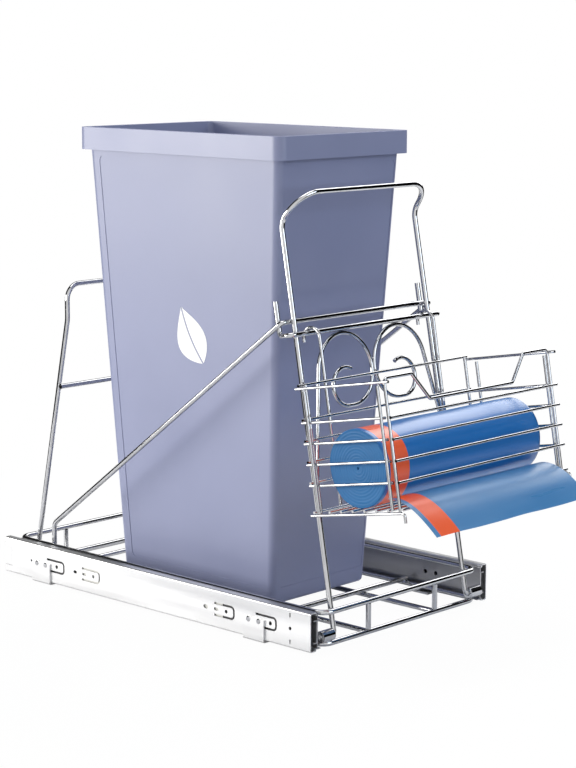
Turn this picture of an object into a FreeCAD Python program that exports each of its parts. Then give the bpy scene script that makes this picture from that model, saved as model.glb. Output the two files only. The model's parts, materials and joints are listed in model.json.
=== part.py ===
import FreeCAD, Part
import Sketcher
import math
import os
from FreeCAD import Placement, Rotation, Vector

# Pull-out waste bin unit for a kitchen base cabinet, in millimetres.
# X runs across, Y to the back, Z up. Z = 0 is the cabinet floor.
# Parts are drawn with Y = 0 at the front end of the rails and are moved at the end,
# so that the origin lies under the middle of the whole unit.

SIZES = [
    # rails
    ("unit_width", 328.6),
    ("rail_length", 550.0),
    ("rail_height", 47.0),
    ("rail_depth", 12.7),
    ("rail_sheet", 1.2),
    ("rail_bend", 2.0),
    ("rail_clear", 0.3),
    ("outer_lip_drop", 3.9),
    ("ball_race", 3.6),
    ("middle_setback", 8.0),
    ("middle_length", 525.0),
    ("inner_length", 536.0),
    ("plate_sheet", 1.0),
    ("plate_height", 42.5),
    ("plate_depth", 6.0),
    ("cage_start", 145.0),
    ("cage_length", 255.0),
    ("rear_notch", 14.0),
    ("rear_notch_height", 27.3),
    # floor brackets
    ("bracket_sheet", 2.5),
    ("bracket_width", 34.0),
    ("bracket_height", 28.0),
    ("bracket_foot", 27.5),
    ("bracket_front_at", 89.8),
    ("bracket_rear_at", 475.2),
    ("foot_hole", 5.0),
    ("rivet_shank", 4.0),
    ("rivet_head", 7.0),
    ("rivet_dome", 1.3),
    ("rivet_pitch", 16.8),
    ("rivet_level", 23.0),
    ("bore_clear", 0.05),
    # wire frame
    ("frame_wire", 6.4),
    ("weld_gap", 0.05),
    ("base_front", 0.3),
    ("base_rear", 546.0),
    ("base_low", 7.5),
    ("base_high", 45.5),
    ("base_corner", 16.0),
    ("strut_at", 62.0),
    ("cross_first", 114.0),
    ("cross_last", 426.0),
    ("tube_outside", 14.4),
    ("tube_bore", 7.0),
    ("tube_length", 20.0),
    ("tube_outset", 4.2),
    # front frame
    ("lean", 10.65),
    ("foot_inset", 20.2),
    ("frame_taper", 3.2),
    ("frame_kink", 484.0),
    ("frame_nod", 47.7),
    ("frame_nod_rise", 8.5),
    ("frame_corner", 36.0),
    ("foot_bend", 4.2),
    ("kink_bend", 14.0),
    ("frame_kink_bend", 24.0),
    ("frame_shy", 4.0),
    ("hook_level", 352.4),
    ("hook_inset", 5.3),
    ("prong_inset", 14.3),
    ("hook_back", 17.8),
    ("hook_rise", 41.1),
    ("hook_bend", 6.5),
    ("brace_level", 368.0),
    ("brace_foot", 484.0),
    ("brace_knee", 73.0),
    ("guard_inset", 15.8),
    ("guard_foot", 530.0),
    ("guard_knee", 461.0),
    ("guard_knee_height", 345.0),
    ("guard_height", 390.0),
    ("guard_corner", 20.0),
    ("guard_bend", 40.0),
    ("guard_rod_height", 256.0),
    ("scroll_wire", 4.8),
    ("scroll_outer", 47.0),
    ("scroll_middle", 40.0),
    ("scroll_flat", 9.0),
    ("scroll_inner", 23.0),
    ("scroll_curl", 120.0),
    ("scroll_leg", 128.0),
    ("scroll_slant", 12.0),
    # bin
    ("bin_height", 592.0),
    ("bin_gap", 0.3),
    ("bin_top_width", 221.3),
    ("bin_top_front", 102.3),
    ("bin_top_back", 438.0),
    ("bin_floor_width", 171.6),
    ("bin_floor_front", 135.3),
    ("bin_floor_back", 404.0),
    ("bin_wall", 2.6),
    ("bin_corner", 10.0),
    ("bin_sole_round", 6.0),
    ("rim_overhang", 8.0),
    ("rim_height", 28.0),
    ("rim_corner", 10.0),
    ("rim_top", 3.0),
    ("panel_depth", 0.6),
    ("panel_inset", 19.0),
    ("panel_end_inset", 9.0),
    ("panel_floor", 21.0),
    ("panel_rim_gap", 8.0),
    ("panel_corner", 6.0),
    # basket
    ("basket_wire", 3.4),
    ("basket_post", 3.8),
    ("basket_tilt", 10.2),
    ("basket_drop", 208.7),
    ("basket_depth", 128.0),
    ("basket_height", 147.0),
    ("basket_rail_low", 34.0),
    ("basket_rail_high", 107.0),
    ("wire_tip", 4.5),
    ("front_top_rise", 4.0),
    ("dip_inset", 51.0),
    ("dip_slope", 27.0),
    ("dip_drop", 32.0),
    ("dip_bend", 4.0),
    ("hang_inset", 50.4),
    ("hang_wire", 4.0),
    ("hang_radius", 12.6),
    ("hang_shift", 2.6),
    ("hang_toe", 4.0),
    ("floor_wire_first", 25.0),
    ("floor_wire_last", 114.0),
    ("post_back_left", 8.0),
    ("post_back_right", 15.0),
    ("post_front", 120.0),
    ("toe_drop", 11.0),
    # bags
    ("roll_radius", 46.5),
    ("roll_length", 287.0),
    ("roll_bore", 8.0),
    ("roll_gap", 0.3),
    ("roll_end_clear", 10.8),
    ("film_thick", 1.0),
    ("film_leaves", 48.0),
    ("film_sill", 134.5),
    ("film_sill_height", 7.5),
    ("film_tip", 170.0),
    ("film_drop", 30.0),
]

# Cuts in the outer rails, by their distance from the front end of the rail.
TAB_FRONTS = (53.4, 122.8, 363.0, 431.3)
TAB_LENGTH = 34.6
TAB_HEIGHT = 17.4
TAB_SLOT = 2.8
TAB_CORNER = 6.0
ROUND_HOLES = ((32.2, 4.2), (64.0, 5.0), (137.2, 4.6), (375.7, 4.6), (446.9, 5.0), (497.3, 3.2))
SLOT_HOLES = ((154.0, 8.0, 3.6), (172.0, 8.0, 5.0), (393.1, 8.0, 3.6), (410.5, 6.5, 4.0))
FRONT_SLIT_AT = 32.3
FRONT_SLIT_LEVEL = 16.1
FRONT_SLIT_LENGTH = 5.6
FRONT_SLIT_WIDTH = 1.8
INNER_HOLES = ((52.0, 3.2), (72.0, 5.6), (89.0, 5.6))

CROSS_WIRES = 4
BASKET_RAILS = 4
FLOOR_WIRES = 6

doc = FreeCAD.newDocument("PullOutBinUnit")
sheet = doc.addObject("Spreadsheet::Sheet", "Sizes")
for row, (alias, value) in enumerate(SIZES, start=1):
    sheet.set("A%d" % row, alias)
    sheet.set("B%d" % row, str(value))
    sheet.setAlias("B%d" % row, alias)
doc.recompute()

NODES = []


def size(alias):
    return float(sheet.get(alias))


def node(item, label):
    item.Label = label
    NODES.append(item)
    return item


# ---------------------------------------------------------------- outlines and paths

def rounded(points, radii, closed=True):
    """Lines and arcs along the points, each corner rounded to its radius."""
    count = len(points)
    if not isinstance(radii, (list, tuple)):
        radii = [radii] * count
    starts = list(points)
    ends = list(points)
    pieces = []
    for i in range(count):
        if radii[i] <= 0 or (not closed and i in (0, count - 1)):
            continue
        corner = points[i]
        back = (points[i - 1] - corner).normalize()
        ahead = (points[(i + 1) % count] - corner).normalize()
        half = back.getAngle(ahead) / 2.0
        if half > math.pi / 2 - 0.002:
            continue
        reach = radii[i] / math.tan(half)
        middle = (back + ahead).normalize()
        centre = corner + middle * (radii[i] / math.sin(half))
        starts[i] = corner + back * reach
        ends[i] = corner + ahead * reach
        crown = centre - middle * radii[i]
        pieces.append((i, starts[i], crown, ends[i], centre, radii[i]))
    arcs = {piece[0]: piece[1:] for piece in pieces}
    result = []
    for i in range(count):
        if i in arcs:
            result.append(("arc",) + arcs[i])
        if i < count - 1 or closed:
            result.append(("line", ends[i], starts[(i + 1) % count]))
    return result


def path_wire(points, radii, closed=False):
    edges = []
    for piece in rounded(points, radii, closed):
        if piece[0] == "line":
            if piece[1].distanceToPoint(piece[2]) > 1e-6:
                edges.append(Part.LineSegment(piece[1], piece[2]).toShape())
        else:
            edges.append(Part.Arc(piece[1], piece[2], piece[3]).toShape())
    return Part.Wire(edges)


def tube_along(wire, radius):
    """A round bar along a smooth wire."""
    first = wire.OrderedEdges[0]
    start = first.valueAt(first.FirstParameter)
    ahead = first.tangentAt(first.FirstParameter)
    if wire.OrderedVertexes[0].Point.distanceToPoint(start) > 1e-6:
        start = first.valueAt(first.LastParameter)
        ahead = first.tangentAt(first.LastParameter)
    circle = Part.Wire([Part.Circle(start, ahead, radius).toShape()])
    return wire.makePipe(Part.Face(circle))


# ---------------------------------------------------------------- document objects

def origin_plane(body, role):
    return [f for f in body.Origin.OriginFeatures if f.Role == role][0]


def new_body(name):
    return doc.addObject("PartDesign::Body", name)


def outline_sketch(body, name, role, outlines, offset=0.0):
    """A sketch of closed outlines, each a list of (points, radii) in the plane's own axes."""
    sketch = body.newObject("Sketcher::SketchObject", name)
    sketch.AttachmentSupport = [(origin_plane(body, role), "")]
    sketch.MapMode = "FlatFace"
    sketch.AttachmentOffset = Placement(Vector(0, 0, offset), Rotation())
    for points, radii in outlines:
        flat = [Vector(p[0], p[1], 0) for p in points]
        if len(flat) == 1:
            sketch.addGeometry(Part.Circle(flat[0], Vector(0, 0, 1), radii), False)
            continue
        for piece in rounded(flat, radii):
            if piece[0] == "line":
                if piece[1].distanceToPoint(piece[2]) > 1e-6:
                    sketch.addGeometry(Part.LineSegment(piece[1], piece[2]), False)
                continue
            start, end, centre, radius = piece[1], piece[3], piece[4], piece[5]
            a = math.atan2(start.y - centre.y, start.x - centre.x)
            b = math.atan2(end.y - centre.y, end.x - centre.x)
            if (b - a) % (2 * math.pi) > math.pi:
                a, b = b, a
            if b < a:
                b += 2 * math.pi
            circle = Part.Circle(centre, Vector(0, 0, 1), radius)
            sketch.addGeometry(Part.ArcOfCircle(circle, a, b), False)
    return sketch


def pad(body, sketch, length, backwards=False):
    feature = body.newObject("PartDesign::Pad", sketch.Name + "_pad")
    feature.Profile = sketch
    feature.setExpression("Length", length)
    feature.Reversed = backwards
    sketch.Visibility = False
    return feature


def cut_through(body, sketch, reverse):
    feature = body.newObject("PartDesign::Pocket", sketch.Name + "_cut")
    feature.Profile = sketch
    feature.Type = 1
    feature.Reversed = reverse
    return feature


def rectangle(x0, x1, y0, y1):
    return [(x0, y0), (x1, y0), (x1, y1), (x0, y1)]


def straight_wire(name, start, end, diameter):
    """A straight round wire between two points; its diameter is a cell's name."""
    bar = doc.addObject("Part::Cylinder", name)
    bar.setExpression("Radius", "Sizes.%s / 2" % diameter)
    bar.Height = start.distanceToPoint(end)
    bar.Placement = Placement(start, Rotation(Vector(0, 0, 1), end - start))
    return bar


def group(label, members):
    bundle = doc.addObject("Part::Compound", label)
    bundle.Links = members
    return node(bundle, label)


def bent_wire(label, points, radii, diameter, closed=False):
    """A wire bent in space: lines and arcs through its corner points."""
    item = doc.addObject("Part::Feature", label)
    item.Shape = tube_along(path_wire(points, radii, closed), size(diameter) / 2)
    return node(item, label)


# ---------------------------------------------------------------- rails

rail_mid = size("bracket_sheet") + size("rail_height") / 2
half_width = size("unit_width") / 2


def rail_x(side, inward):
    """X of a point that lies this far inward from the rail's outer face."""
    return side * (half_width - inward)


def channel(side, near, far, half, lip, sheet):
    """A C section that opens away from its web, from near (web) to far (lips)."""
    points = [
        (near, -half), (far, -half), (far, -half + lip), (far - sheet, -half + lip),
        (far - sheet, -half + sheet), (near + sheet, -half + sheet),
        (near + sheet, half - sheet), (far - sheet, half - sheet),
        (far - sheet, half - lip), (far, half - lip), (far, half), (near, half),
    ]
    return [(rail_x(side, u), rail_mid + v) for u, v in points]


sheet_t = size("rail_sheet")
clear = size("rail_clear")
race = size("ball_race")
outer_half = size("rail_height") / 2
outer_far = size("rail_depth") - 2.3
middle_near = sheet_t + 1.8
middle_half = outer_half - sheet_t - race
middle_far = size("rail_depth") - sheet_t - clear
inner_half = middle_half - sheet_t - race
inner_near = middle_near + sheet_t + 1.2
inner_far = size("rail_depth") - size("plate_sheet")
outer_radii = [size("rail_bend"), size("rail_bend"), 0, 0, 0.8, 0.8,
               0.8, 0.8, 0, 0, size("rail_bend"), size("rail_bend")]


def rail_tab(front):
    """The U-shaped cut that frees a mounting tab; it is open towards the back."""
    rear = front + TAB_LENGTH
    low = rail_mid - TAB_HEIGHT / 2
    high = rail_mid + TAB_HEIGHT / 2
    points = [
        (rear, low), (rear, low + TAB_SLOT), (front + TAB_SLOT, low + TAB_SLOT),
        (front + TAB_SLOT, high - TAB_SLOT), (rear, high - TAB_SLOT), (rear, high),
        (front, high), (front, low),
    ]
    inner = TAB_CORNER - TAB_SLOT
    return (points, [0, 0, inner, inner, 0, 0, TAB_CORNER, TAB_CORNER])


def long_hole(along, level, length, height):
    points = rectangle(along - length / 2, along + length / 2, level - height / 2, level + height / 2)
    return (points, min(length, height) / 2)


def rivet_places():
    places = []
    for at in (size("bracket_front_at"), size("bracket_rear_at")):
        for step in (-0.5, 0.5):
            places.append(at + step * size("rivet_pitch"))
    return places


def outer_rail(side, name):
    body = new_body(name)
    section = channel(side, 0, outer_far, outer_half, size("outer_lip_drop"), sheet_t)
    profile = outline_sketch(body, name + "_section", "XZ_Plane", [(section, outer_radii)])
    pad(body, profile, "Sizes.rail_length", True)
    outlines = [rail_tab(front) for front in TAB_FRONTS]
    outlines += [([(at, rail_mid)], bore / 2) for at, bore in ROUND_HOLES]
    outlines += [long_hole(at, rail_mid, length, height) for at, length, height in SLOT_HOLES]
    for level in (rail_mid - FRONT_SLIT_LEVEL, rail_mid + FRONT_SLIT_LEVEL):
        outlines.append(long_hole(FRONT_SLIT_AT, level, FRONT_SLIT_WIDTH, FRONT_SLIT_LENGTH))
    bore = size("rivet_shank") / 2 + size("bore_clear")
    level = size("bracket_sheet") + size("rivet_level")
    outlines += [([(at, level)], bore) for at in rivet_places()]
    holes = outline_sketch(body, name + "_holes", "YZ_Plane", outlines)
    cut_through(body, holes, side > 0)
    rear = size("rail_length")
    half = size("rear_notch_height") / 2
    mouth = rectangle(rear - size("rear_notch"), rear + 1, rail_mid - half, rail_mid + half)
    notch = outline_sketch(body, name + "_notch", "YZ_Plane", [(mouth, 0)])
    cut_through(body, notch, side > 0)
    return node(body, name)


def inner_hole_outlines():
    rear = size("inner_length")
    outlines = [([(at, rail_mid)], bore / 2) for at, bore in INNER_HOLES]
    outlines += [([(rear - at, rail_mid)], bore / 2) for at, bore in INNER_HOLES]
    return outlines


def inner_rail(side, name):
    body = new_body(name)
    far = inner_far
    points = [
        (inner_near, -inner_half), (far, -inner_half), (far, inner_half),
        (inner_near, inner_half), (inner_near, inner_half - sheet_t),
        (far - sheet_t, inner_half - sheet_t), (far - sheet_t, -inner_half + sheet_t),
        (inner_near, -inner_half + sheet_t),
    ]
    section = [(rail_x(side, u), rail_mid + v) for u, v in points]
    radii = [0, 1.5, 1.5, 0, 0, 0.5, 0.5, 0]
    profile = outline_sketch(body, name + "_section", "XZ_Plane", [(section, radii)])
    pad(body, profile, "Sizes.inner_length", True)
    holes = outline_sketch(body, name + "_holes", "YZ_Plane", inner_hole_outlines())
    cut_through(body, holes, side > 0)
    return node(body, name)


def side_plate(side, name):
    """Shallow channel on the inner rail's web; the wire base is welded to its two edges."""
    body = new_body(name)
    near = inner_far + size("weld_gap")
    far = near + size("plate_depth")
    half = size("plate_height") / 2
    t = size("plate_sheet")
    points = [
        (near, -half), (far, -half), (far, -half + t), (near + t, -half + t),
        (near + t, half - t), (far, half - t), (far, half), (near, half),
    ]
    section = [(rail_x(side, u), rail_mid + v) for u, v in points]
    profile = outline_sketch(body, name + "_section", "XZ_Plane", [(section, 0)])
    pad(body, profile, "Sizes.inner_length", True)
    holes = outline_sketch(body, name + "_holes", "YZ_Plane", inner_hole_outlines())
    cut_through(body, holes, side > 0)
    return node(body, name)


def middle_rail(side, name):
    body = new_body(name)
    section = channel(side, middle_near, middle_far, middle_half, size("outer_lip_drop"), sheet_t)
    radii = [1.5, 1.5, 0, 0, 0.5, 0.5, 0.5, 0.5, 0, 0, 1.5, 1.5]
    start = size("middle_setback")
    profile = outline_sketch(body, name + "_section", "XZ_Plane", [(section, radii)], -start)
    pad(body, profile, "Sizes.middle_length", True)
    return node(body, name)


def ball_cage(side, name, near, far, half, sheet):
    """Retainer strip: a C section whose flanges fill the two ball races."""
    body = new_body(name)
    section = channel(side, near, far, half, sheet, sheet)
    points = [
        (near, -half), (far, -half), (far, -half + sheet), (near + 0.6, -half + sheet),
        (near + 0.6, half - sheet), (far, half - sheet), (far, half), (near, half),
    ]
    section = [(rail_x(side, u), rail_mid + v) for u, v in points]
    profile = outline_sketch(body, name + "_section", "XZ_Plane", [(section, 0)], -size("cage_start"))
    pad(body, profile, "Sizes.cage_length", True)
    return node(body, name)


SIDES = ((-1, "left"), (1, "right"))
for side, word in SIDES:
    outer_rail(side, "outer_rail_" + word)
for side, word in SIDES:
    middle_rail(side, "middle_rail_" + word)
for side, word in SIDES:
    inner_rail(side, "inner_rail_" + word)
for side, word in SIDES:
    side_plate(side, "side_plate_" + word)
for side, word in SIDES:
    strip = race - 2 * clear
    ball_cage(side, "outer_cage_" + word, sheet_t + 0.8, outer_far - sheet_t - clear,
              outer_half - sheet_t - clear, strip)
    ball_cage(side, "inner_cage_" + word, middle_near + sheet_t + clear,
              middle_far - sheet_t - clear, middle_half - sheet_t - clear, strip)


# ---------------------------------------------------------------- floor brackets

def floor_bracket(side, at, name):
    body = new_body(name)
    t = size("bracket_sheet")
    foot = size("bracket_foot")
    tall = size("bracket_height")
    points = [(-t, 0), (foot, 0), (foot, t), (0, t), (0, tall), (-t, tall)]
    section = [(rail_x(side, u), z) for u, z in points]
    radii = [t, 0, 0, 0, 0, 0]
    front = at - size("bracket_width") / 2
    profile = outline_sketch(body, name + "_section", "XZ_Plane", [(section, radii)], -front)
    pad(body, profile, "Sizes.bracket_width", True)
    bore = size("rivet_shank") / 2 + size("bore_clear")
    level = t + size("rivet_level")
    places = [at - size("rivet_pitch") / 2, at + size("rivet_pitch") / 2]
    rivets = outline_sketch(body, name + "_rivets", "YZ_Plane", [([(p, level)], bore) for p in places])
    cut_through(body, rivets, side > 0)
    hole_x = rail_x(side, foot - 5.5)
    screw = outline_sketch(body, name + "_screw", "XY_Plane", [([(hole_x, at)], size("foot_hole") / 2)], t + 1)
    cut_through(body, screw, False)
    return node(body, name)


for side, word in SIDES:
    floor_bracket(side, size("bracket_front_at"), "floor_bracket_front_" + word)
    floor_bracket(side, size("bracket_rear_at"), "floor_bracket_rear_" + word)


def rivet(side, along, name):
    """Shank through bracket and rail under a shallow head."""
    level = size("bracket_sheet") + size("rivet_level")
    out = Vector(side, 0, 0)
    seat = Vector(side * (half_width + size("bracket_sheet") + size("weld_gap")), along, level)
    turn = Rotation(Vector(0, 0, 1), out)
    head = doc.addObject("Part::Cone", name + "_head")
    head.setExpression("Radius1", "Sizes.rivet_head / 2")
    head.setExpression("Radius2", "Sizes.rivet_head / 3")
    head.setExpression("Height", "Sizes.rivet_dome")
    head.Placement = Placement(seat, turn)
    shank = doc.addObject("Part::Cylinder", name + "_shank")
    shank.setExpression("Radius", "Sizes.rivet_shank / 2")
    shank.setExpression("Height", "Sizes.bracket_sheet + Sizes.rail_sheet")
    shank.Placement = Placement(seat - out * (size("bracket_sheet") + sheet_t), turn)
    whole = doc.addObject("Part::MultiFuse", name)
    whole.Shapes = [head, shank]
    return whole


rivets = []
for side, word in SIDES:
    for number, along in enumerate(rivet_places(), start=1):
        rivets.append(rivet(side, along, "rivet_%s_%d" % (word, number)))
group("bracket_rivets", rivets)


# ---------------------------------------------------------------- base of the carriage

wire = size("frame_wire")
gap = size("weld_gap")
touch = wire + gap
base_half = half_width - inner_far - size("plate_depth") - 2 * gap - wire / 2
front_y = size("base_front")
rear_y = size("base_rear")
lean = math.radians(size("lean"))
tube_level = size("base_low") + wire / 2 + gap + size("tube_outside") / 2
# the leaning uprights pass close behind the front bar of the top loop
upright_y = front_y + (size("base_high") - tube_level) * math.tan(lean)
top_front_y = upright_y - (wire + 2 * gap) / math.cos(lean)


def base_loop(label, level, front):
    corners = [(-base_half, front), (base_half, front), (base_half, rear_y), (-base_half, rear_y)]
    # the loop starts in the middle of its front bar, where the wire's ends are butted
    points = [Vector(0, front, level)] + [Vector(x, y, level) for x, y in corners[1:]]
    points += [Vector(-base_half, front, level)]
    radii = [0] + [size("base_corner")] * 4
    return bent_wire(label, points, radii, "frame_wire", True)


base_loop("base_loop_bottom", size("base_low"), front_y)
base_loop("base_loop_top", size("base_high"), top_front_y)

for label, y in (("front_struts", front_y), ("rear_struts", rear_y)):
    low = size("base_low") + wire / 2 + gap
    high = size("base_high") - wire / 2 - gap
    group(label, [
        straight_wire("%s_%d" % (label, i), Vector(x, y, low), Vector(x, y, high), "frame_wire")
        for i, x in enumerate((-size("strut_at"), size("strut_at")))
    ])

group("long_floor_wires", [
    straight_wire("long_floor_wire_%d" % i, Vector(x, front_y + wire / 2 + gap, size("base_low")),
                  Vector(x, rear_y - wire / 2 - gap, size("base_low")), "frame_wire")
    for i, x in enumerate((-size("strut_at"), size("strut_at")))
])

cross_level = size("base_low") + touch
pitch = (size("cross_last") - size("cross_first")) / (CROSS_WIRES - 1)
cross_places = [size("cross_first") + i * pitch for i in range(CROSS_WIRES)]
cross_places += [size("brace_foot"), size("guard_foot")]
group("cross_floor_wires", [
    straight_wire("cross_floor_wire_%d" % i, Vector(-base_half, y, cross_level),
                  Vector(base_half, y, cross_level), "frame_wire")
    for i, y in enumerate(cross_places)
])

# ---------------------------------------------------------------- pivot tubes and front frame

pivot = Vector(0, front_y, tube_level)
UP = Vector(0, math.sin(lean), math.cos(lean))
FORWARD = Vector(0, -math.cos(lean), math.sin(lean))


def leaning(x, forward, up):
    """A point of the leaning front frame: forward of its plane and up along it."""
    return pivot + Vector(x, 0, 0) + FORWARD * forward + UP * up


tube_end = base_half + size("tube_outset")


def pivot_tube(side, name):
    body = new_body(name)
    centre = [(front_y, tube_level)]
    rings = [(centre, size("tube_outside") / 2), (centre, size("tube_bore") / 2)]
    start = side * tube_end
    profile = outline_sketch(body, name + "_section", "YZ_Plane", rings, start)
    pad(body, profile, "Sizes.tube_length", side > 0)
    return node(body, name)


for side, word in SIDES:
    pivot_tube(side, "pivot_tube_" + word)

tube_reach = tube_end - size("frame_shy")
foot = base_half - size("foot_inset")
top = foot - size("frame_taper")
nod = math.radians(size("frame_nod"))
crest_rise = size("frame_nod_rise") + size("frame_corner")
kink_up = size("frame_kink")
crest_forward = crest_rise * math.sin(nod)
crest_up = kink_up + crest_rise * math.cos(nod)
half_frame = [
    leaning(-tube_reach, 0, 0), leaning(-foot, 0, 0), leaning(-top, 0, kink_up),
    leaning(-top, crest_forward, crest_up),
]
other_half = [
    leaning(top, crest_forward, crest_up), leaning(top, 0, kink_up), leaning(foot, 0, 0),
    leaning(tube_reach, 0, 0),
]
half_radii = [0, size("foot_bend"), size("frame_kink_bend"), size("frame_corner")]
frame_radii = half_radii + half_radii[::-1]
bent_wire("front_frame", half_frame + other_half, frame_radii, "frame_wire")

# hook wire: bar in front of the uprights, returns beside them, stubs behind
hook_half = base_half - size("hook_inset")
prong_half = base_half - size("prong_inset")
hook_level = size("hook_level")
stub_top = hook_level + size("hook_rise")
hook_points = [
    leaning(-prong_half, -size("hook_back"), stub_top), leaning(-prong_half, -size("hook_back"), hook_level),
    leaning(-hook_half, touch, hook_level), leaning(hook_half, touch, hook_level),
    leaning(prong_half, -size("hook_back"), hook_level), leaning(prong_half, -size("hook_back"), stub_top),
]
bent_wire("hook_wire", hook_points, size("hook_bend"), "frame_wire")

# brace: its cross bar lies behind the uprights in the pockets of the hook wire
brace_bar = leaning(0, -touch, size("brace_level"))
brace_half = prong_half + touch
brace_low = cross_level + wire / 2 + gap
brace_points = []
for side in (-1, 1):
    leg = [
        Vector(side * brace_half, size("brace_foot"), brace_low),
        Vector(side * brace_half, size("brace_foot"), size("brace_knee")),
        Vector(side * brace_half, brace_bar.y, brace_bar.z),
    ]
    brace_points += leg if side < 0 else leg[::-1]
half_radii = [0, size("kink_bend"), size("hook_bend")]
bent_wire("brace", brace_points, half_radii + half_radii[::-1], "frame_wire")

# rear guard
guard_half = base_half - size("guard_inset")
guard_lean = math.atan2(size("guard_foot") - size("guard_knee"), size("guard_knee_height") - cross_level)
guard_low = cross_level + (wire / 2 + gap) / math.cos(guard_lean)
slope = (size("guard_foot") - size("guard_knee")) / (size("guard_knee_height") - guard_low)
guard_points = [
    Vector(-guard_half, size("guard_foot"), guard_low),
    Vector(-guard_half, size("guard_knee"), size("guard_knee_height")),
    Vector(-guard_half, size("guard_knee"), size("guard_height")),
    Vector(guard_half, size("guard_knee"), size("guard_height")),
    Vector(guard_half, size("guard_knee"), size("guard_knee_height")),
    Vector(guard_half, size("guard_foot"), guard_low),
]
half_radii = [0, size("guard_bend"), size("guard_corner")]
bent_wire("rear_guard", guard_points, half_radii + half_radii[::-1], "frame_wire")
rod_height = size("guard_rod_height")
rod_y = size("guard_foot") - slope * (rod_height - guard_low) - touch * math.sqrt(1 + slope ** 2)
group("guard_rod", [
    straight_wire("guard_rod_bar", Vector(-guard_half - wire / 2, rod_y, rod_height),
                  Vector(guard_half + wire / 2, rod_y, rod_height), "frame_wire")
])


# ---------------------------------------------------------------- scrolls on the front frame

def scroll(side, label):
    """A leg up from the upright, an arch under the hook wire, and a curl of shrinking arcs below it."""
    radius = size("scroll_wire") / 2
    forward = wire / 2 + radius + gap
    under = math.sqrt(forward ** 2 - (touch - forward) ** 2)
    arch = size("scroll_outer")
    bowl = size("scroll_middle")
    curl = size("scroll_inner")
    level = hook_level - under - arch
    arch_at = arch + radius + gap
    bowl_at = radius + gap + bowl
    curl_at = bowl_at + size("scroll_flat")
    curl_level = level - bowl + curl
    slant = math.radians(size("scroll_slant"))
    leg = size("scroll_leg")

    def spot(out, up):
        return leaning(side * out, forward, up)

    def around(out, up, reach, angle):
        """A point at an angle up from the outward direction."""
        turn = math.radians(angle)
        return spot(out + reach * math.cos(turn), up + reach * math.sin(turn))

    shoulder = around(arch_at, level, arch, math.degrees(slant))
    leg_end = shoulder + leaning(side * leg * math.sin(slant), 0, -leg * math.cos(slant)) - pivot
    middle = spot(radius + gap, level)
    bowl_low = spot(bowl_at, level - bowl)
    curl_low = spot(curl_at, level - bowl)
    end = size("scroll_curl")
    edges = [
        Part.LineSegment(leg_end, shoulder).toShape(),
        Part.Arc(shoulder, around(arch_at, level, arch, 90), middle).toShape(),
        Part.Arc(middle, around(bowl_at, level, bowl, 225), bowl_low).toShape(),
        Part.LineSegment(bowl_low, curl_low).toShape(),
        Part.Arc(curl_low, around(curl_at, curl_level, curl, 0), around(curl_at, curl_level, curl, end)).toShape(),
    ]
    item = doc.addObject("Part::Feature", label)
    item.Shape = tube_along(Part.Wire(edges), radius)
    return node(item, label)


scroll(-1, "scroll_left")
scroll(1, "scroll_right")


# ---------------------------------------------------------------- bin

bin_low = cross_level + wire / 2 + size("bin_gap")
bin_high = size("bin_height")


def edge_names(shape, wanted):
    return ["Edge%d" % n for n, edge in enumerate(shape.Edges, start=1) if wanted(edge.BoundBox)]


def mouth_outline(reach, corner):
    """Rounded rectangle round the bin's mouth, moved out by the reach."""
    half = size("bin_top_width") / 2 + reach
    front = size("bin_top_front") - reach
    back = size("bin_top_back") + reach
    return (rectangle(-half, half, front, back), corner)


def round_edges(body, name, base, wanted, radius):
    doc.recompute()
    feature = body.newObject("PartDesign::Fillet", name)
    feature.Base = (base, edge_names(base.Shape, wanted))
    feature.setExpression("Radius", radius)
    return feature


def at_share(floor, top_value, share):
    return floor + (top_value - floor) * share


def panel(body, name, role, offset, slope, edges, inwards):
    """A shallow recess in one sloping wall; edges gives its two side edges at a share of the height."""
    rise = bin_high - bin_low
    low = size("panel_floor")
    high = rise - size("rim_height") - size("panel_rim_gap")
    left_low, right_low = edges(low / rise)
    left_high, right_high = edges(high / rise)
    steep = 1 / math.cos(slope)
    corners = [(left_low, low * steep), (right_low, low * steep), (right_high, high * steep), (left_high, high * steep)]
    sketch = outline_sketch(body, name, role, [(corners, size("panel_corner"))])
    sketch.AttachmentOffset = Placement(Vector(0, bin_low, offset), Rotation(Vector(1, 0, 0), math.degrees(slope)))
    recess = body.newObject("PartDesign::Pocket", name + "_recess")
    recess.Profile = sketch
    recess.setExpression("Length", "Sizes.panel_depth")
    recess.Reversed = inwards
    return recess


def side_panel(body, side):
    half_floor = size("bin_floor_width") / 2
    slope = math.atan((size("bin_top_width") / 2 - half_floor) / (bin_high - bin_low))
    inset = size("panel_inset")

    def edges(share):
        front = at_share(size("bin_floor_front"), size("bin_top_front"), share)
        back = at_share(size("bin_floor_back"), size("bin_top_back"), share)
        return (front + inset, back - inset)

    name = "side_panel_left" if side < 0 else "side_panel_right"
    panel(body, name, "YZ_Plane", side * half_floor, side * slope, edges, side < 0)


def end_panel(body, name, floor_y, top_y, behind):
    slope = math.atan((floor_y - top_y) / (bin_high - bin_low))
    inset = size("panel_end_inset")

    def edges(share):
        half = at_share(size("bin_floor_width"), size("bin_top_width"), share) / 2 - inset
        return (-half, half)

    panel(body, name, "XZ_Plane", -floor_y, slope, edges, behind)


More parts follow.
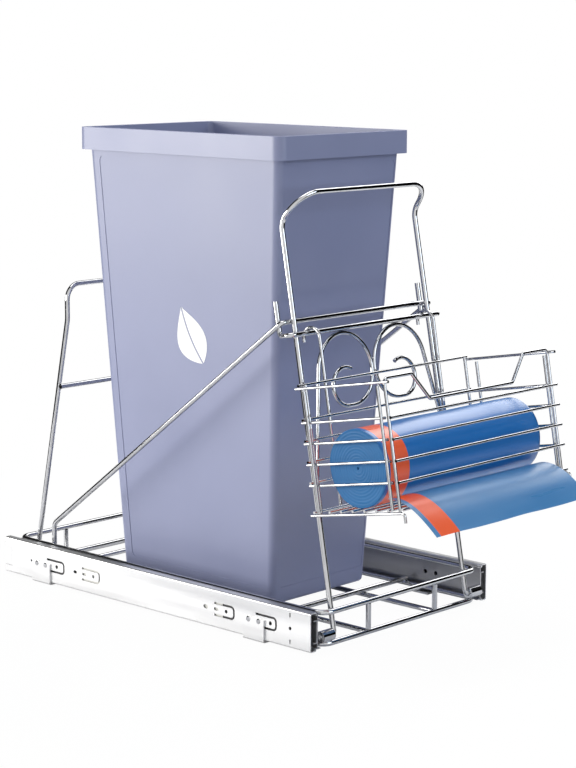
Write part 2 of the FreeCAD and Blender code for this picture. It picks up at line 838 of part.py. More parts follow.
def build_bin():
    body = new_body("bin")
    # the block tapers down on every side; its own Y axis stands up
    block = body.newObject("PartDesign::AdditiveWedge", "bin_block")
    block.Ymin = 0
    block.Ymax = bin_high - bin_low
    block.setExpression("Xmin", "-Sizes.bin_floor_width / 2")
    block.setExpression("Xmax", "Sizes.bin_floor_width / 2")
    block.setExpression("X2min", "-Sizes.bin_top_width / 2")
    block.setExpression("X2max", "Sizes.bin_top_width / 2")
    block.setExpression("Zmin", "-Sizes.bin_floor_back")
    block.setExpression("Zmax", "-Sizes.bin_floor_front")
    block.setExpression("Z2min", "-Sizes.bin_top_back")
    block.setExpression("Z2max", "-Sizes.bin_top_front")
    block.Placement = Placement(Vector(0, 0, bin_low), Rotation(Vector(1, 0, 0), 90))
    upright = round_edges(body, "bin_corners", block, lambda box: box.ZLength > 100, "Sizes.bin_corner")
    sole = round_edges(body, "bin_sole", upright, lambda box: box.ZMax < bin_low + 0.1, "Sizes.bin_sole_round")
    doc.recompute()
    shell = body.newObject("PartDesign::Thickness", "bin_shell")
    faces = ["Face%d" % n for n, f in enumerate(sole.Shape.Faces, start=1) if f.BoundBox.ZMin > bin_high - 1]
    shell.Base = (sole, faces)
    shell.setExpression("Value", "Sizes.bin_wall")
    shell.Reversed = True
    # the rim is a turned-over collar, hollow underneath
    wall = size("bin_wall")
    over = size("rim_overhang")
    rim_low = bin_high - size("rim_height")
    collar_edges = [mouth_outline(over, size("rim_corner") + wall), mouth_outline(-wall, size("bin_corner") - wall)]
    collar = outline_sketch(body, "rim_outline", "XY_Plane", collar_edges, rim_low)
    pad(body, collar, "Sizes.rim_height")
    hollow_edges = [mouth_outline(over - wall, size("rim_corner")), mouth_outline(0, size("bin_corner"))]
    hollow = outline_sketch(body, "rim_hollow", "XY_Plane", hollow_edges, rim_low)
    groove = body.newObject("PartDesign::Pocket", "rim_groove")
    groove.Profile = hollow
    groove.setExpression("Length", "Sizes.rim_height - Sizes.rim_top")
    groove.Reversed = True
    for side in (-1, 1):
        side_panel(body, side)
    end_panel(body, "front_panel", size("bin_floor_front"), size("bin_top_front"), False)
    end_panel(body, "back_panel", size("bin_floor_back"), size("bin_top_back"), True)
    return node(body, "bin")


build_bin()


# ---------------------------------------------------------------- basket

post = size("basket_post")
rail = size("basket_wire")
b_half = size("roll_length") / 2 + size("roll_end_clear")
depth = size("basket_depth")
tall = size("basket_height")
tip = size("wire_tip")
back_plane = size("hang_shift") + size("hang_radius") + rail / 2 + size("hang_wire") / 2 + gap
tilt = math.radians(size("basket_tilt"))
B_UP = Vector(0, math.sin(tilt), math.cos(tilt))
B_FORWARD = Vector(0, -math.cos(tilt), math.sin(tilt))
bar = leaning(0, touch, hook_level)
rail_step = (size("basket_rail_high") - size("basket_rail_low")) / (BASKET_RAILS - 1)
rail_levels = [size("basket_rail_low") + i * rail_step for i in range(BASKET_RAILS)]
post_rail = post / 2 + rail / 2 + gap
rail_rail = rail + gap


def hanging(x, forward, up):
    """A point of the hanging basket, seen from the hook wire's bar."""
    return bar + Vector(x, 0, 0) + B_FORWARD * forward + B_UP * up


def basket(x, forward, up):
    """A point of the basket: forward of its back rails and up from its floor rails."""
    return hanging(x, back_plane + forward, up - size("basket_drop"))


def basket_side(side, label):
    members = []

    def add(start, end, diameter):
        members.append(straight_wire("%s_%d" % (label, len(members)), start, end, diameter))

    outside = side * b_half
    inside = side * (b_half - post_rail)
    back_post = size("post_back_left") if side < 0 else size("post_back_right")
    for forward in (back_post, size("post_front")):
        add(basket(outside, forward, post_rail), basket(outside, forward, tall - post_rail), "basket_post")
    for level in rail_levels:
        add(basket(inside, -tip, level), basket(inside, depth - 5.0, level), "basket_wire")
    add(basket(outside, -tip, tall), basket(outside, depth + 2 * tip, tall), "basket_wire")
    return group(label, members)


for side, word in SIDES:
    basket_side(side, "basket_side_" + word)

for side, word in SIDES:
    toe = depth + 2 * tip
    bent_wire("basket_floor_rail_" + word, [
        basket(side * b_half, -tip, 0), basket(side * b_half, toe, 0),
        basket(side * b_half, toe, -size("toe_drop")),
    ], [0, 4, 0], "basket_wire")

back_members = []
back_x = b_half - post_rail - rail / 2 - post / 2 - 1.0
for number, x in enumerate((-back_x, back_x)):
    back_members.append(straight_wire("basket_back_post_%d" % number, basket(x, post_rail, 0),
                                      basket(x, post_rail, tall + post_rail), "basket_post"))
for number, level in enumerate([0.0] + rail_levels + [tall]):
    up = level + rail_rail
    back_members.append(straight_wire("basket_back_rail_%d" % number, basket(-b_half, 0, up),
                                      basket(b_half, 0, up), "basket_wire"))
group("basket_back", back_members)

hoop_x = b_half - post_rail
hoop_top = tall + size("front_top_rise")
dip = hoop_top - size("dip_drop")
dip_high_x = b_half - size("dip_inset")
dip_low_x = dip_high_x - size("dip_slope")
hoop_left = [
    basket(-hoop_x, depth, 0), basket(-hoop_x, depth, hoop_top), basket(-dip_high_x, depth, hoop_top),
    basket(-dip_low_x, depth, dip),
]
hoop_right = [
    basket(dip_low_x, depth, dip), basket(dip_high_x, depth, hoop_top),
    basket(hoop_x, depth, hoop_top), basket(hoop_x, depth, 0),
]
half_radii = [0, size("hook_bend"), size("dip_bend"), size("dip_bend")]
bent_wire("basket_front_hoop", hoop_left + hoop_right, half_radii + half_radii[::-1], "basket_post")

group("basket_front_rails", [
    straight_wire("basket_front_rail_%d" % number, basket(-hoop_x - 1.0, depth + post_rail, level),
                  basket(hoop_x + tip + 2, depth + post_rail, level), "basket_wire")
    for number, level in enumerate([rail_rail] + rail_levels)
])

floor_step = (size("floor_wire_last") - size("floor_wire_first")) / (FLOOR_WIRES - 1)
group("basket_floor_wires", [
    straight_wire("basket_floor_wire_%d" % number,
                  basket(-b_half - 1, size("floor_wire_first") + number * floor_step, rail_rail),
                  basket(b_half + 1, size("floor_wire_first") + number * floor_step, rail_rail), "basket_wire")
    for number in range(FLOOR_WIRES)
])


def hanging_hook(side, label):
    """Runs up behind the back rails, turns over the hook wire's bar and ends behind it."""
    radius = size("hang_radius")
    shift = size("hang_shift")
    x = side * (b_half - size("hang_inset"))
    inside = radius - size("hang_wire") / 2 - wire / 2 - size("bin_gap")
    level = -math.sqrt(inside ** 2 - shift ** 2)
    low = hanging(x, shift + radius, -size("basket_drop"))
    front = hanging(x, shift + radius, level)
    rear = hanging(x, shift - radius, level)
    edges = [
        Part.LineSegment(low, front).toShape(),
        Part.Arc(front, hanging(x, shift, level + radius), rear).toShape(),
        Part.LineSegment(rear, hanging(x, shift - radius, level - size("hang_toe"))).toShape(),
    ]
    item = doc.addObject("Part::Feature", label)
    item.Shape = tube_along(Part.Wire(edges), size("hang_wire") / 2)
    return node(item, label)


for side, word in SIDES:
    hanging_hook(side, "hanging_hook_" + word)

# ---------------------------------------------------------------- bags

# the roll lies between the two floor wires that are nearest to the basket's middle
left_wire = size("floor_wire_first") + (FLOOR_WIRES // 2 - 1) * floor_step
roll_at = left_wire + floor_step / 2
rest = size("roll_radius") + rail / 2 + size("roll_gap")
roll_up = rail_rail + math.sqrt(rest ** 2 - (floor_step / 2) ** 2)
roll_centre = basket(0, roll_at, roll_up)

roll = new_body("bag_roll")
rings = [([(roll_centre.y, roll_centre.z)], size("roll_radius")),
         ([(roll_centre.y, roll_centre.z)], size("roll_bore") / 2)]
roll_section = outline_sketch(roll, "bag_roll_section", "YZ_Plane", rings)
roll_pad = pad(roll, roll_section, "Sizes.roll_length")
roll_pad.Midplane = True
node(roll, "bag_roll")

# loose end of the film: leaves the roll low at the front, runs over the sill and hangs
leave = math.radians(size("film_leaves"))
off = size("roll_radius") + size("roll_gap") + size("film_thick") / 2
film_line = [
    (roll_at + off * math.cos(leave), roll_up - off * math.sin(leave)),
    (size("film_sill"), size("film_sill_height")),
    (size("film_tip"), -size("film_drop")),
]


def film_side(offset):
    """The film's middle line moved to one face, mitred where it bends."""
    moved = []
    for number, (forward, up) in enumerate(film_line):
        before = film_line[max(number - 1, 0)]
        after = film_line[min(number + 1, len(film_line) - 1)]
        normals = []
        for a, b in ((before, (forward, up)), ((forward, up), after)):
            length = math.hypot(b[0] - a[0], b[1] - a[1])
            if length > 0:
                normals.append(Vector(-(b[1] - a[1]) / length, (b[0] - a[0]) / length, 0))
        mean = sum(normals[1:], normals[0]).normalize()
        reach = offset / (mean * normals[0])
        moved.append((forward + mean.x * reach, up + mean.y * reach))
    return moved


film = new_body("bag_film")
film_section = []
for forward, up in film_side(size("film_thick") / 2) + film_side(-size("film_thick") / 2)[::-1]:
    place = basket(0, forward, up)
    film_section.append((place.y, place.z))
film_sketch = outline_sketch(film, "bag_film_section", "YZ_Plane", [(film_section, 0)])
film_pad = pad(film, film_sketch, "Sizes.roll_length")
film_pad.Midplane = True
node(film, "bag_film")

# ---------------------------------------------------------------- place, check, export

doc.recompute()
bounds = [item.Shape.optimalBoundingBox(True, False) for item in NODES]
front_end = min(box.YMin for box in bounds)
back_end = max(box.YMax for box in bounds)
shift = Vector(0, -(front_end + back_end) / 2, 0)
for item in NODES:
    item.Placement = Placement(shift, Rotation()).multiply(item.Placement)
doc.recompute()

print("shift", round(shift.y, 4), "pivot", pivot + shift, "roll", roll_centre + shift)
for item in doc.Objects:
    if "Invalid" in item.State or "Error" in item.State:
        raise RuntimeError("%s failed: %s" % (item.Label, item.State))

os.makedirs("parts", exist_ok=True)
for item in NODES:
    shape = item.Shape
    if shape.isNull() or not shape.isValid() or not shape.Solids:
        raise RuntimeError("%s has no sound solid" % item.Label)
    shape.exportStep("parts/%s.step" % item.Label)
print(len(NODES), "nodes written")
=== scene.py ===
"""Pull-out waste bin unit: the looks, the camera and the light. Lengths in metres."""
import json
import math

import bmesh
import bpy
from mathutils import Matrix, Vector, noise


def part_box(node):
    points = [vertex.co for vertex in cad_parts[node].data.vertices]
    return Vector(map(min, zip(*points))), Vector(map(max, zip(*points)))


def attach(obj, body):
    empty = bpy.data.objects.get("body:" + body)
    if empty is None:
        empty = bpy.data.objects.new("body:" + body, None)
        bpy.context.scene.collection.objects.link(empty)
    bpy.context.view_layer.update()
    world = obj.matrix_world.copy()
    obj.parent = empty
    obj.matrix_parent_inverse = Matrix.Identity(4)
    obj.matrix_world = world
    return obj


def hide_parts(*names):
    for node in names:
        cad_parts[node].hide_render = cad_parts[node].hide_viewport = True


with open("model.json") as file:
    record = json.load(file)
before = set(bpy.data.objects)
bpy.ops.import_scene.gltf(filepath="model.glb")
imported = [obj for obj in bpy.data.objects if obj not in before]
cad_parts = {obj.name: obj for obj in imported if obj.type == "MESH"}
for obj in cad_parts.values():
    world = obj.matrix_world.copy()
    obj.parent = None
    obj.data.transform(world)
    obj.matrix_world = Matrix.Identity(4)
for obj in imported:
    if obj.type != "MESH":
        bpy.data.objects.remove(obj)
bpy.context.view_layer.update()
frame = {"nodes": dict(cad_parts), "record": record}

# ---------------------------------------------------------------- places read from the frame

RAIL_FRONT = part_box("outer_rail_left")[0].y
roll_low, roll_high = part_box("bag_roll")
ROLL_MIDDLE = (roll_low + roll_high) / 2
ROLL_RADIUS = (roll_high.y - roll_low.y) / 2
ROLL_LENGTH = roll_high.x - roll_low.x
film_low, film_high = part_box("bag_film")
FILM_WIDTH = film_high.x - film_low.x

# the basket leans, so its own up and forward do too
TILT = math.radians(10.2)
UP = Vector((0, math.sin(TILT), math.cos(TILT)))
FORWARD = Vector((0, -math.cos(TILT), math.sin(TILT)))

# ---------------------------------------------------------------- materials

NOISE_LOW, NOISE_HIGH = 0.3, 0.7
RAMP_ENDS = (0.35, 0.65)


def new_material(name, colour, metallic, roughness):
    material = bpy.data.materials.new(name)
    material.use_nodes = True
    nodes = material.node_tree.nodes
    shader = nodes["Principled BSDF"]
    shader.inputs["Base Color"].default_value = (*colour, 1)
    shader.inputs["Metallic"].default_value = metallic
    shader.inputs["Roughness"].default_value = roughness
    return material, nodes, material.node_tree.links, shader


def object_noise(nodes, links, scale, stretch=(1, 1, 1), detail=4.0):
    """Noise fixed to the object, finer with a larger scale and drawn out where the stretch is small."""
    place = nodes.new("ShaderNodeTexCoord")
    mapping = nodes.new("ShaderNodeMapping")
    mapping.inputs["Scale"].default_value = stretch
    texture = nodes.new("ShaderNodeTexNoise")
    texture.inputs["Scale"].default_value = scale
    texture.inputs["Detail"].default_value = detail
    links.new(place.outputs["Object"], mapping.inputs["Vector"])
    links.new(mapping.outputs["Vector"], texture.inputs["Vector"])
    return texture


def vary(nodes, links, texture, socket, low, high):
    """Maps the noise to a range of one number on the shader."""
    spread = nodes.new("ShaderNodeMapRange")
    spread.inputs["From Min"].default_value = NOISE_LOW
    spread.inputs["From Max"].default_value = NOISE_HIGH
    spread.inputs["To Min"].default_value = low
    spread.inputs["To Max"].default_value = high
    links.new(texture.outputs["Fac"], spread.inputs["Value"])
    links.new(spread.outputs["Result"], socket)


def blend_of(nodes, links, texture, dark, light):
    """A colour that the noise moves between a dark and a light one."""
    ramp = nodes.new("ShaderNodeValToRGB")
    for element, place, colour in zip(ramp.color_ramp.elements, RAMP_ENDS, (dark, light)):
        element.position = place
        element.color = (*colour, 1)
    links.new(texture.outputs["Fac"], ramp.inputs["Fac"])
    return ramp.outputs["Color"]


def bump(nodes, links, texture, shader, strength, distance):
    relief = nodes.new("ShaderNodeBump")
    relief.inputs["Strength"].default_value = strength
    relief.inputs["Distance"].default_value = distance
    links.new(texture.outputs["Fac"], relief.inputs["Height"])
    links.new(relief.outputs["Normal"], shader.inputs["Normal"])


def chrome(name, dark, light, roughness):
    """Bright plating on drawn wire."""
    material, nodes, links, shader = new_material(name, light, 1.0, roughness)
    grain = object_noise(nodes, links, 60)
    vary(nodes, links, grain, shader.inputs["Roughness"], roughness * 0.7, roughness * 1.4)
    links.new(blend_of(nodes, links, grain, dark, light), shader.inputs["Base Color"])
    return material


def zinc(name, dark, light, roughness):
    """Rolled sheet with a faint grain along the rails."""
    material, nodes, links, shader = new_material(name, light, 0.85, roughness)
    grain = object_noise(nodes, links, 45, stretch=(1, 0.06, 1), detail=6)
    vary(nodes, links, grain, shader.inputs["Roughness"], roughness * 0.8, roughness * 1.3)
    links.new(blend_of(nodes, links, grain, dark, light), shader.inputs["Base Color"])
    bump(nodes, links, grain, shader, strength=0.02, distance=0.0003)
    return material


def moulded(name, dark, light, roughness, ior=1.49):
    """Moulded plastic: fine grain in the relief, broad clouds in gloss and colour."""
    material, nodes, links, shader = new_material(name, light, 0.0, roughness)
    shader.inputs["IOR"].default_value = ior
    grain = object_noise(nodes, links, 900, detail=2)
    cloud = object_noise(nodes, links, 6)
    vary(nodes, links, cloud, shader.inputs["Roughness"], roughness * 0.9, roughness * 1.15)
    links.new(blend_of(nodes, links, cloud, dark, light), shader.inputs["Base Color"])
    bump(nodes, links, grain, shader, strength=0.12, distance=0.0002)
    return material


# the orange stripe printed near the left edge of every bag, from and to, across the roll
STRIPE = (-0.1355, -0.1025)
STRIPE_ORANGE = (0.8, 0.1, 0.022)
CREASE_SCALE = 22
CREASE_STRETCH = (0.12, 1, 1)


def film_material(name, dark, light, ior):
    """Creased film with the orange stripe."""
    material, nodes, links, shader = new_material(name, light, 0.0, 0.32)
    shader.inputs["IOR"].default_value = ior
    creases = object_noise(nodes, links, CREASE_SCALE, stretch=CREASE_STRETCH, detail=5)
    vary(nodes, links, creases, shader.inputs["Roughness"], 0.26, 0.38)
    bump(nodes, links, creases, shader, strength=0.2, distance=0.0015)
    across = nodes.new("ShaderNodeSeparateXYZ")
    links.new(nodes.new("ShaderNodeTexCoord").outputs["Object"], across.inputs["Vector"])
    inside = nodes.new("ShaderNodeMath")
    inside.operation = "COMPARE"
    inside.inputs[1].default_value = sum(STRIPE) / 2
    inside.inputs[2].default_value = (STRIPE[1] - STRIPE[0]) / 2
    links.new(across.outputs["X"], inside.inputs[0])
    mix = nodes.new("ShaderNodeMix")
    mix.data_type = "RGBA"
    links.new(inside.outputs["Value"], mix.inputs["Factor"])
    sockets = {socket.identifier: socket for socket in (*mix.inputs, *mix.outputs)}
    links.new(blend_of(nodes, links, creases, dark, light), sockets["A_Color"])
    sockets["B_Color"].default_value = (*STRIPE_ORANGE, 1)
    links.new(sockets["Result_Color"], shader.inputs["Base Color"])
    return material


CHROME = chrome("chrome_wire", (0.52, 0.525, 0.54), (0.6, 0.605, 0.615), 0.04)
ZINC = zinc("zinc_sheet", (0.62, 0.625, 0.635), (0.72, 0.725, 0.735), 0.34)
# darker copy of the zinc for the inner rails and side plates: painted shade for the shaded inside of the
# slides
SHADE_DARK_ZINC = zinc("painted_shade_dark_zinc_sheet", (0.36, 0.36, 0.37), (0.46, 0.46, 0.47), 0.34)
# near-black copy of the zinc: painted shade, so the slots and holes in the rails in front of it look dark
SHADE_BLACK_ZINC = zinc("painted_shade_black_zinc_sheet", (0.05, 0.05, 0.055), (0.09, 0.09, 0.095), 0.45)
CAGE = moulded("cage_nylon", (0.6, 0.6, 0.57), (0.66, 0.66, 0.63), 0.5)
BIN = moulded("bin_plastic", (0.23, 0.255, 0.405), (0.248, 0.273, 0.43), 0.4, ior=1.65)
PRINT = moulded("sign_print", (0.86, 0.86, 0.87), (0.92, 0.92, 0.93), 0.5)
ROLL_BLUE = film_material("roll_blue", (0.0, 0.12, 0.4), (0.003, 0.15, 0.46), 1.75)
END_BLUE = moulded("roll_end_blue", (0.012, 0.12, 0.32), (0.02, 0.15, 0.37), 0.5, ior=1.35)
FILM_BLUE = film_material("film_blue", (0.04, 0.18, 0.4), (0.075, 0.225, 0.45), 1.45)

# what a body's nodes are made of, and the nodes that differ from the rest of their body; the near-black and
# darker zinc here is painted shade, not the steel's own colour
BODY_MATERIALS = {
    "cabinet_rails": ZINC,
    # the middle rails' near-black zinc is painted shade behind the slots
    "middle_rails": SHADE_BLACK_ZINC,
    "outer_cages": CAGE,
    "inner_cages": CAGE,
    "carriage": CHROME,
    "basket": CHROME,
    "bin": BIN,
}
NODE_MATERIALS = {
    "bracket_rivets": CHROME,
    # the darker zinc on these nodes is painted shade
    "inner_rail_left": SHADE_DARK_ZINC,
    "inner_rail_right": SHADE_DARK_ZINC,
    "side_plate_left": SHADE_DARK_ZINC,
    "side_plate_right": SHADE_DARK_ZINC,
}

for body, material in BODY_MATERIALS.items():
    for name in frame["record"]["behaviour"]["bodies"][body]:
        node = frame["nodes"][name]
        node.data.materials.clear()
        node.data.materials.append(NODE_MATERIALS.get(name, material))
        for polygon in node.data.polygons:
            polygon.material_index = 0


def new_piece(name, mesh_maker, body, material, smooth=True):
    mesh = bpy.data.meshes.new(name)
    builder = bmesh.new()
    mesh_maker(builder)
    bmesh.ops.recalc_face_normals(builder, faces=builder.faces)
    for face in builder.faces:
        face.smooth = smooth
    builder.to_mesh(mesh)
    builder.free()
    piece = bpy.data.objects.new(name, mesh)
    bpy.context.scene.collection.objects.link(piece)
    mesh.materials.append(material)
    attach(piece, body)
    return piece


# ---------------------------------------------------------------- roll of bags

ROLL_AROUND = 120
ROLL_ALONG = 90
ROLL_PRESS = 0.93
# the film lies this far inside the solid, with lumps about as high
ROLL_SKIN = 0.0012
LUMP_HIGH = 0.0011
LUMPS_ALONG = 9
LUMPS_AROUND = 1.4
END_TURNS = 12
RINGS_PER_TURN = 5
CORE_RADIUS = 0.0016
CORE_DEEP = 0.003
EDGE_SINK = 0.0003
EDGE_RAGGED = 0.0002
RAGS_ACROSS = 300


def roll_point(x, radius, angle):
    """A point of the roll, which is pressed a little flat towards the front."""
    forward = radius * math.cos(angle)
    forward = (forward + ROLL_RADIUS) * ROLL_PRESS - ROLL_RADIUS
    return Vector((x, 0, 0)) + ROLL_MIDDLE + FORWARD * forward + UP * radius * math.sin(angle)


def join_rings(builder, first, second):
    for j in range(len(first)):
        k = (j + 1) % len(first)
        builder.faces.new((first[j], first[k], second[k], second[j]))


def roll_surface(builder):
    """The lumpy outside and the two wound ends, which have a material of their own."""
    rings = []
    for i in range(ROLL_ALONG + 1):
        x = (i / ROLL_ALONG - 0.5) * ROLL_LENGTH
        ring = []
        for j in range(ROLL_AROUND):
            angle = 2 * math.pi * j / ROLL_AROUND
            place = Vector((x * LUMPS_ALONG, math.cos(angle) * LUMPS_AROUND, math.sin(angle) * LUMPS_AROUND))
            radius = ROLL_RADIUS - ROLL_SKIN + LUMP_HIGH * noise.noise(place)
            ring.append(builder.verts.new(roll_point(x, radius, angle)))
        rings.append(ring)
    for first, second in zip(rings, rings[1:]):
        join_rings(builder, first, second)
    outside_faces = len(builder.faces)
    spiral_end(builder, rings[0], -1)
    spiral_end(builder, rings[-1], 1)
    builder.faces.ensure_lookup_table()
    for face in builder.faces[outside_faces:]:
        face.material_index = 1


def spiral_end(builder, rim, outward):
    """Closes an end of the roll with the wound edges of the film: a shallow spiral round a small core."""
    end_x = rim[0].co.x
    last = rim
    steps = END_TURNS * RINGS_PER_TURN
    for i in range(1, steps + 1):
        share = i / steps
        ring = []
        for j in range(ROLL_AROUND):
            angle = 2 * math.pi * j / ROLL_AROUND
            radius = (ROLL_RADIUS - ROLL_SKIN) * (1 - share) + CORE_RADIUS * share
            wave = (share * END_TURNS + j / ROLL_AROUND) % 1.0
            ragged = noise.noise(Vector((radius * RAGS_ACROSS, math.cos(angle), math.sin(angle))))
            sink = EDGE_SINK * abs(wave - 0.5) * 2 + EDGE_RAGGED * ragged
            ring.append(builder.verts.new(roll_point(end_x - outward * sink, radius, angle)))
        join_rings(builder, last, ring)
        last = ring
    deep = [builder.verts.new((end_x - outward * CORE_DEEP, vert.co.y, vert.co.z)) for vert in last]
    join_rings(builder, last, deep)
    builder.faces.new(deep)


roll = new_piece("roll_of_bags", roll_surface, "bag_roll", ROLL_BLUE)
roll.data.materials.append(END_BLUE)
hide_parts("bag_roll")

# ---------------------------------------------------------------- loose end of the film

# forward of the roll's middle and up from it, along the tilted basket
LEAVES = (0.0292, -0.0366)
SILL = (0.0632, -0.0442)
TIP = (0.1003, -0.0805)
FILM_ACROSS = 80
FILM_ALONG = 40
# the free part past the sill waves a little
WAVE_FROM = 0.45
WAVE_HIGH = 0.0022
WAVES_ACROSS = 5
WAVES_ALONG = 1.6
WAVE_SEED = 3.1


def film_route(share):
    """The film's middle line: low off the roll, in one bow over the front sill and down."""
    place = []
    for leaves, sill, tip in zip(LEAVES, SILL, TIP):
        pull = 2 * sill - (leaves + tip) / 2
        place.append((1 - share) ** 2 * leaves + 2 * share * (1 - share) * pull + share ** 2 * tip)
    return ROLL_MIDDLE + FORWARD * place[0] + UP * place[1]


def film_surface(builder):
    rows = []
    for i in range(FILM_ALONG + 1):
        share = i / FILM_ALONG
        centre = film_route(share)
        free = max(share - WAVE_FROM, 0)
        row = []
        for j in range(FILM_ACROSS + 1):
            side = j / FILM_ACROSS - 0.5
            ripple = noise.noise(Vector((side * WAVES_ACROSS, share * WAVES_ALONG, WAVE_SEED)))
            place = centre + Vector((side * FILM_WIDTH, 0, 0)) + UP * (WAVE_HIGH * free * ripple)
            row.append(builder.verts.new(place))
        rows.append(row)
    for first, second in zip(rows, rows[1:]):
        for j in range(FILM_ACROSS):
            builder.faces.new((first[j], first[j + 1], second[j + 1], second[j]))


sheet = new_piece("loose_film", film_surface, "basket", FILM_BLUE)
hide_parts("bag_film")

# ---------------------------------------------------------------- leaf sign on the bin's left side

SIGN_LOW = Vector((0, 0.052, 0.308))
SIGN_TALL = 0.076
SIGN_WIDE = 0.025
SIGN_BOW = 0.004
SIGN_BULGE = 0.8
SIGN_SLANT = math.radians(-28)
SIGN_STEPS = 24
MIDRIB = 0.0011
PRINT_GAP = 0.0001
PRINT_THICK = 0.0002
# half the bin's width over its walls and the height there, low and high
WALL_LOW = (0.0858, 0.0175)
WALL_HIGH = (0.11065, 0.592)
PANEL_DEEP = 0.0006


def wall_x(z):
    """Where the recessed panel on the bin's left side lies at a height."""
    share = (z - WALL_LOW[1]) / (WALL_HIGH[1] - WALL_LOW[1])
    return -(WALL_LOW[0] + (WALL_HIGH[0] - WALL_LOW[0]) * share - PANEL_DEEP)


def leaf_point(side, reach, share):
    """A point beside the leaf's midrib, a share of the way up it; the leaf is bowed and slants."""
    y = side * reach + SIGN_BOW * math.sin(math.pi * share)
    z = share * SIGN_TALL
    turned_y = y * math.cos(SIGN_SLANT) - z * math.sin(SIGN_SLANT)
    turned_z = y * math.sin(SIGN_SLANT) + z * math.cos(SIGN_SLANT)
    return SIGN_LOW.y + turned_y, SIGN_LOW.z + turned_z


def leaf_surface(builder):
    """Two halves of a leaf with a bare midrib between them, each a thin closed print."""
    for side in (-1, 1):
        outline = [leaf_point(side, MIDRIB, i / SIGN_STEPS) for i in range(SIGN_STEPS + 1)]
        for i in range(SIGN_STEPS - 1, 0, -1):
            half = SIGN_WIDE * math.sin(math.pi * (i / SIGN_STEPS) ** SIGN_BULGE)
            outline.append(leaf_point(side, half, i / SIGN_STEPS))
        back, front = (
            [builder.verts.new((wall_x(z) - lift, y, z)) for y, z in outline]
            for lift in (PRINT_GAP, PRINT_GAP + PRINT_THICK)
        )
        builder.faces.new(front)
        builder.faces.new(back[::-1])
        join_rings(builder, back, front)


new_piece("leaf_sign", leaf_surface, "bin", PRINT, smooth=False)

# ---------------------------------------------------------------- camera

# the photograph's angles in radians, its focal length and height in pixels, and the eye
YAW = 0.8171358
PITCH = 0.1661079
ROLL = -0.0028139
FOCAL = 2143.8
PHOTO_HEIGHT = 768
EYE = Vector((-1.9291, RAIL_FRONT - 1.61963, 0.72022))

ahead = Vector((math.sin(YAW) * math.cos(PITCH), math.cos(YAW) * math.cos(PITCH), -math.sin(PITCH)))
level = Vector((math.cos(YAW), -math.sin(YAW), 0))
downward = ahead.cross(level)
right = level * math.cos(ROLL) + downward * math.sin(ROLL)
below = downward * math.cos(ROLL) - level * math.sin(ROLL)
lens = bpy.data.cameras.new("camera")
lens.sensor_width = 36
lens.lens = FOCAL * lens.sensor_width / PHOTO_HEIGHT
camera = bpy.data.objects.new("camera", lens)
bpy.context.scene.collection.objects.link(camera)
camera.matrix_world = Matrix.Translation(EYE) @ Matrix((right, -below, -ahead)).transposed().to_4x4()
bpy.context.scene.camera = camera

# ---------------------------------------------------------------- floor

FLOOR_SIZE = 1.7
FLOOR_DROP = 0.0005
# how much of what the camera sees of the floor is plain white; the rest keeps the shadow
FLOOR_WHITE = 0.965

floor_material, nodes, links, shader = new_material("floor_paint", (0.82, 0.82, 0.83), 0.0, 0.9)
vary(nodes, links, object_noise(nodes, links, 3), shader.inputs["Roughness"], 0.85, 0.95)
share = nodes.new("ShaderNodeMath")
share.operation = "MULTIPLY"
share.inputs[1].default_value = FLOOR_WHITE
mix = nodes.new("ShaderNodeMixShader")
links.new(nodes.new("ShaderNodeLightPath").outputs["Is Camera Ray"], share.inputs[0])
links.new(share.outputs["Value"], mix.inputs["Fac"])
links.new(shader.outputs["BSDF"], mix.inputs[1])
links.new(nodes.new("ShaderNodeEmission").outputs["Emission"], mix.inputs[2])
links.new(mix.outputs["Shader"], nodes["Material Output"].inputs["Surface"])
bpy.ops.mesh.primitive_plane_add(size=FLOOR_SIZE, location=(0, 0, -FLOOR_DROP))
floor = bpy.context.object
floor.name = "floor"
floor.data.materials.append(floor_material)

# ---------------------------------------------------------------- world

WHITE = (1, 1, 1, 1)
ROOM_STRENGTH = 0.55
# brightness by how far a direction points along an axis, from 0 for against it to 1 for with it
ROOM_STOPS = [(0.0, 0.35), (0.5, 0.55), (1.0, 1.0)]
BEHIND_STOPS = [(0.0, 1.0), (0.12, 1.0), (0.3, 0.02), (0.965, 0.02), (0.99, 0.5)]
BESIDE_STOPS = [(0.0, 1.0), (0.92, 1.0), (0.965, 0.2), (1.0, 0.2)]

world = bpy.data.worlds.new("studio")
bpy.context.scene.world = world
world.use_nodes = True
sky = world.node_tree
sky_links = sky.links
direction = sky.nodes.new("ShaderNodeTexCoord").outputs["Generated"]


def ramp(value, stops):
    colours = sky.nodes.new("ShaderNodeValToRGB")
    elements = colours.color_ramp.elements
    while len(elements) < len(stops):
        elements.new(0.5)
    for element, (place, grey) in zip(elements, stops):
        element.position = place
        element.color = (grey, grey, grey, 1)
    sky_links.new(value, colours.inputs["Fac"])
    return colours.outputs["Color"]


def along(axis):
    """How far a direction points along an axis, from 0 for against it to 1 for with it."""
    dot = sky.nodes.new("ShaderNodeVectorMath")
    dot.operation = "DOT_PRODUCT"
    dot.inputs[1].default_value = axis
    sky_links.new(direction, dot.inputs[0])
    half = sky.nodes.new("ShaderNodeMath")
    half.operation = "MULTIPLY_ADD"
    half.inputs[1].default_value = 0.5
    half.inputs[2].default_value = 0.5
    sky_links.new(dot.outputs["Value"], half.inputs[0])
    return half.outputs["Value"]


def product(first, second):
    times = sky.nodes.new("ShaderNodeVectorMath")
    times.operation = "MULTIPLY"
    sky_links.new(first, times.inputs[0])
    sky_links.new(second, times.inputs[1])
    return times.outputs["Vector"]


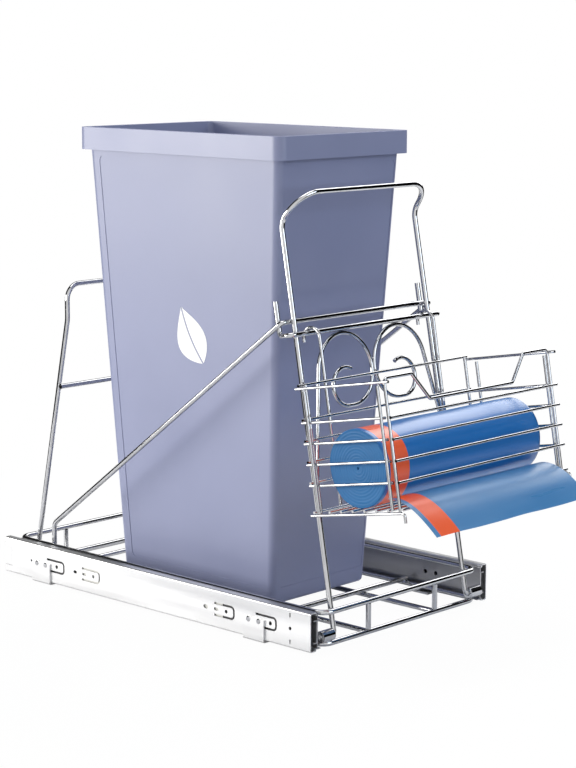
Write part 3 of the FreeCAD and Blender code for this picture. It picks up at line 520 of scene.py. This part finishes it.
def light_of(colour, strength):
    """Light of a linked colour, or plain white where none is given."""
    glow = sky.nodes.new("ShaderNodeBackground")
    glow.inputs["Strength"].default_value = strength
    if colour:
        sky_links.new(colour, glow.inputs["Color"])
    else:
        glow.inputs["Color"].default_value = WHITE
    return glow.outputs["Background"]


def choose(factor, otherwise, chosen):
    switch = sky.nodes.new("ShaderNodeMixShader")
    sky_links.new(factor, switch.inputs["Fac"])
    sky_links.new(otherwise, switch.inputs[1])
    sky_links.new(chosen, switch.inputs[2])
    return switch.outputs["Shader"]


# Soft light from above for the matt surfaces, and a white room with dark flags for what shines.
room = ramp(along((0, 0, 1)), ROOM_STOPS)
flags = product(ramp(along(ahead), BEHIND_STOPS), ramp(along(right), BESIDE_STOPS))
sight = sky.nodes.new("ShaderNodeLightPath").outputs
lit = choose(sight["Is Glossy Ray"], light_of(room, ROOM_STRENGTH), light_of(flags, 1.0))
lit = choose(sight["Is Camera Ray"], lit, light_of(None, 1.0))
sky_links.new(lit, sky.nodes["World Output"].inputs["Surface"])

# ---------------------------------------------------------------- lamps


def softbox(name, place, target, width, height, power, tint=(1, 1, 1)):
    """A rectangular lamp, with its power in watts."""
    light = bpy.data.lights.new(name, "AREA")
    light.color = tint
    light.shape = "RECTANGLE"
    light.size = width
    light.size_y = height
    light.energy = power
    lamp = bpy.data.objects.new(name, light)
    bpy.context.scene.collection.objects.link(lamp)
    lamp.location = place
    lamp.rotation_euler = (Vector(target) - Vector(place)).to_track_quat("-Z", "Y").to_euler()


softbox("key", (-2.5, 1.9, 0.62), (0, 0, 0.15), width=2.2, height=1.2, power=90, tint=(1, 0.98, 0.94))
softbox("fill", (0.6, -2.6, 1.2), (0, 0, 0.2), width=1.4, height=1.6, power=24, tint=(0.78, 0.88, 1))
softbox("right", (1.92, 0.45, 1.75), (0, -0.2, 0.25), width=1.2, height=2.6, power=35)
softbox("top", (0, 0.2, 2.6), (0, 0, 0), width=1.6, height=1.6, power=26)

bpy.context.scene.view_settings.view_transform = "Standard"
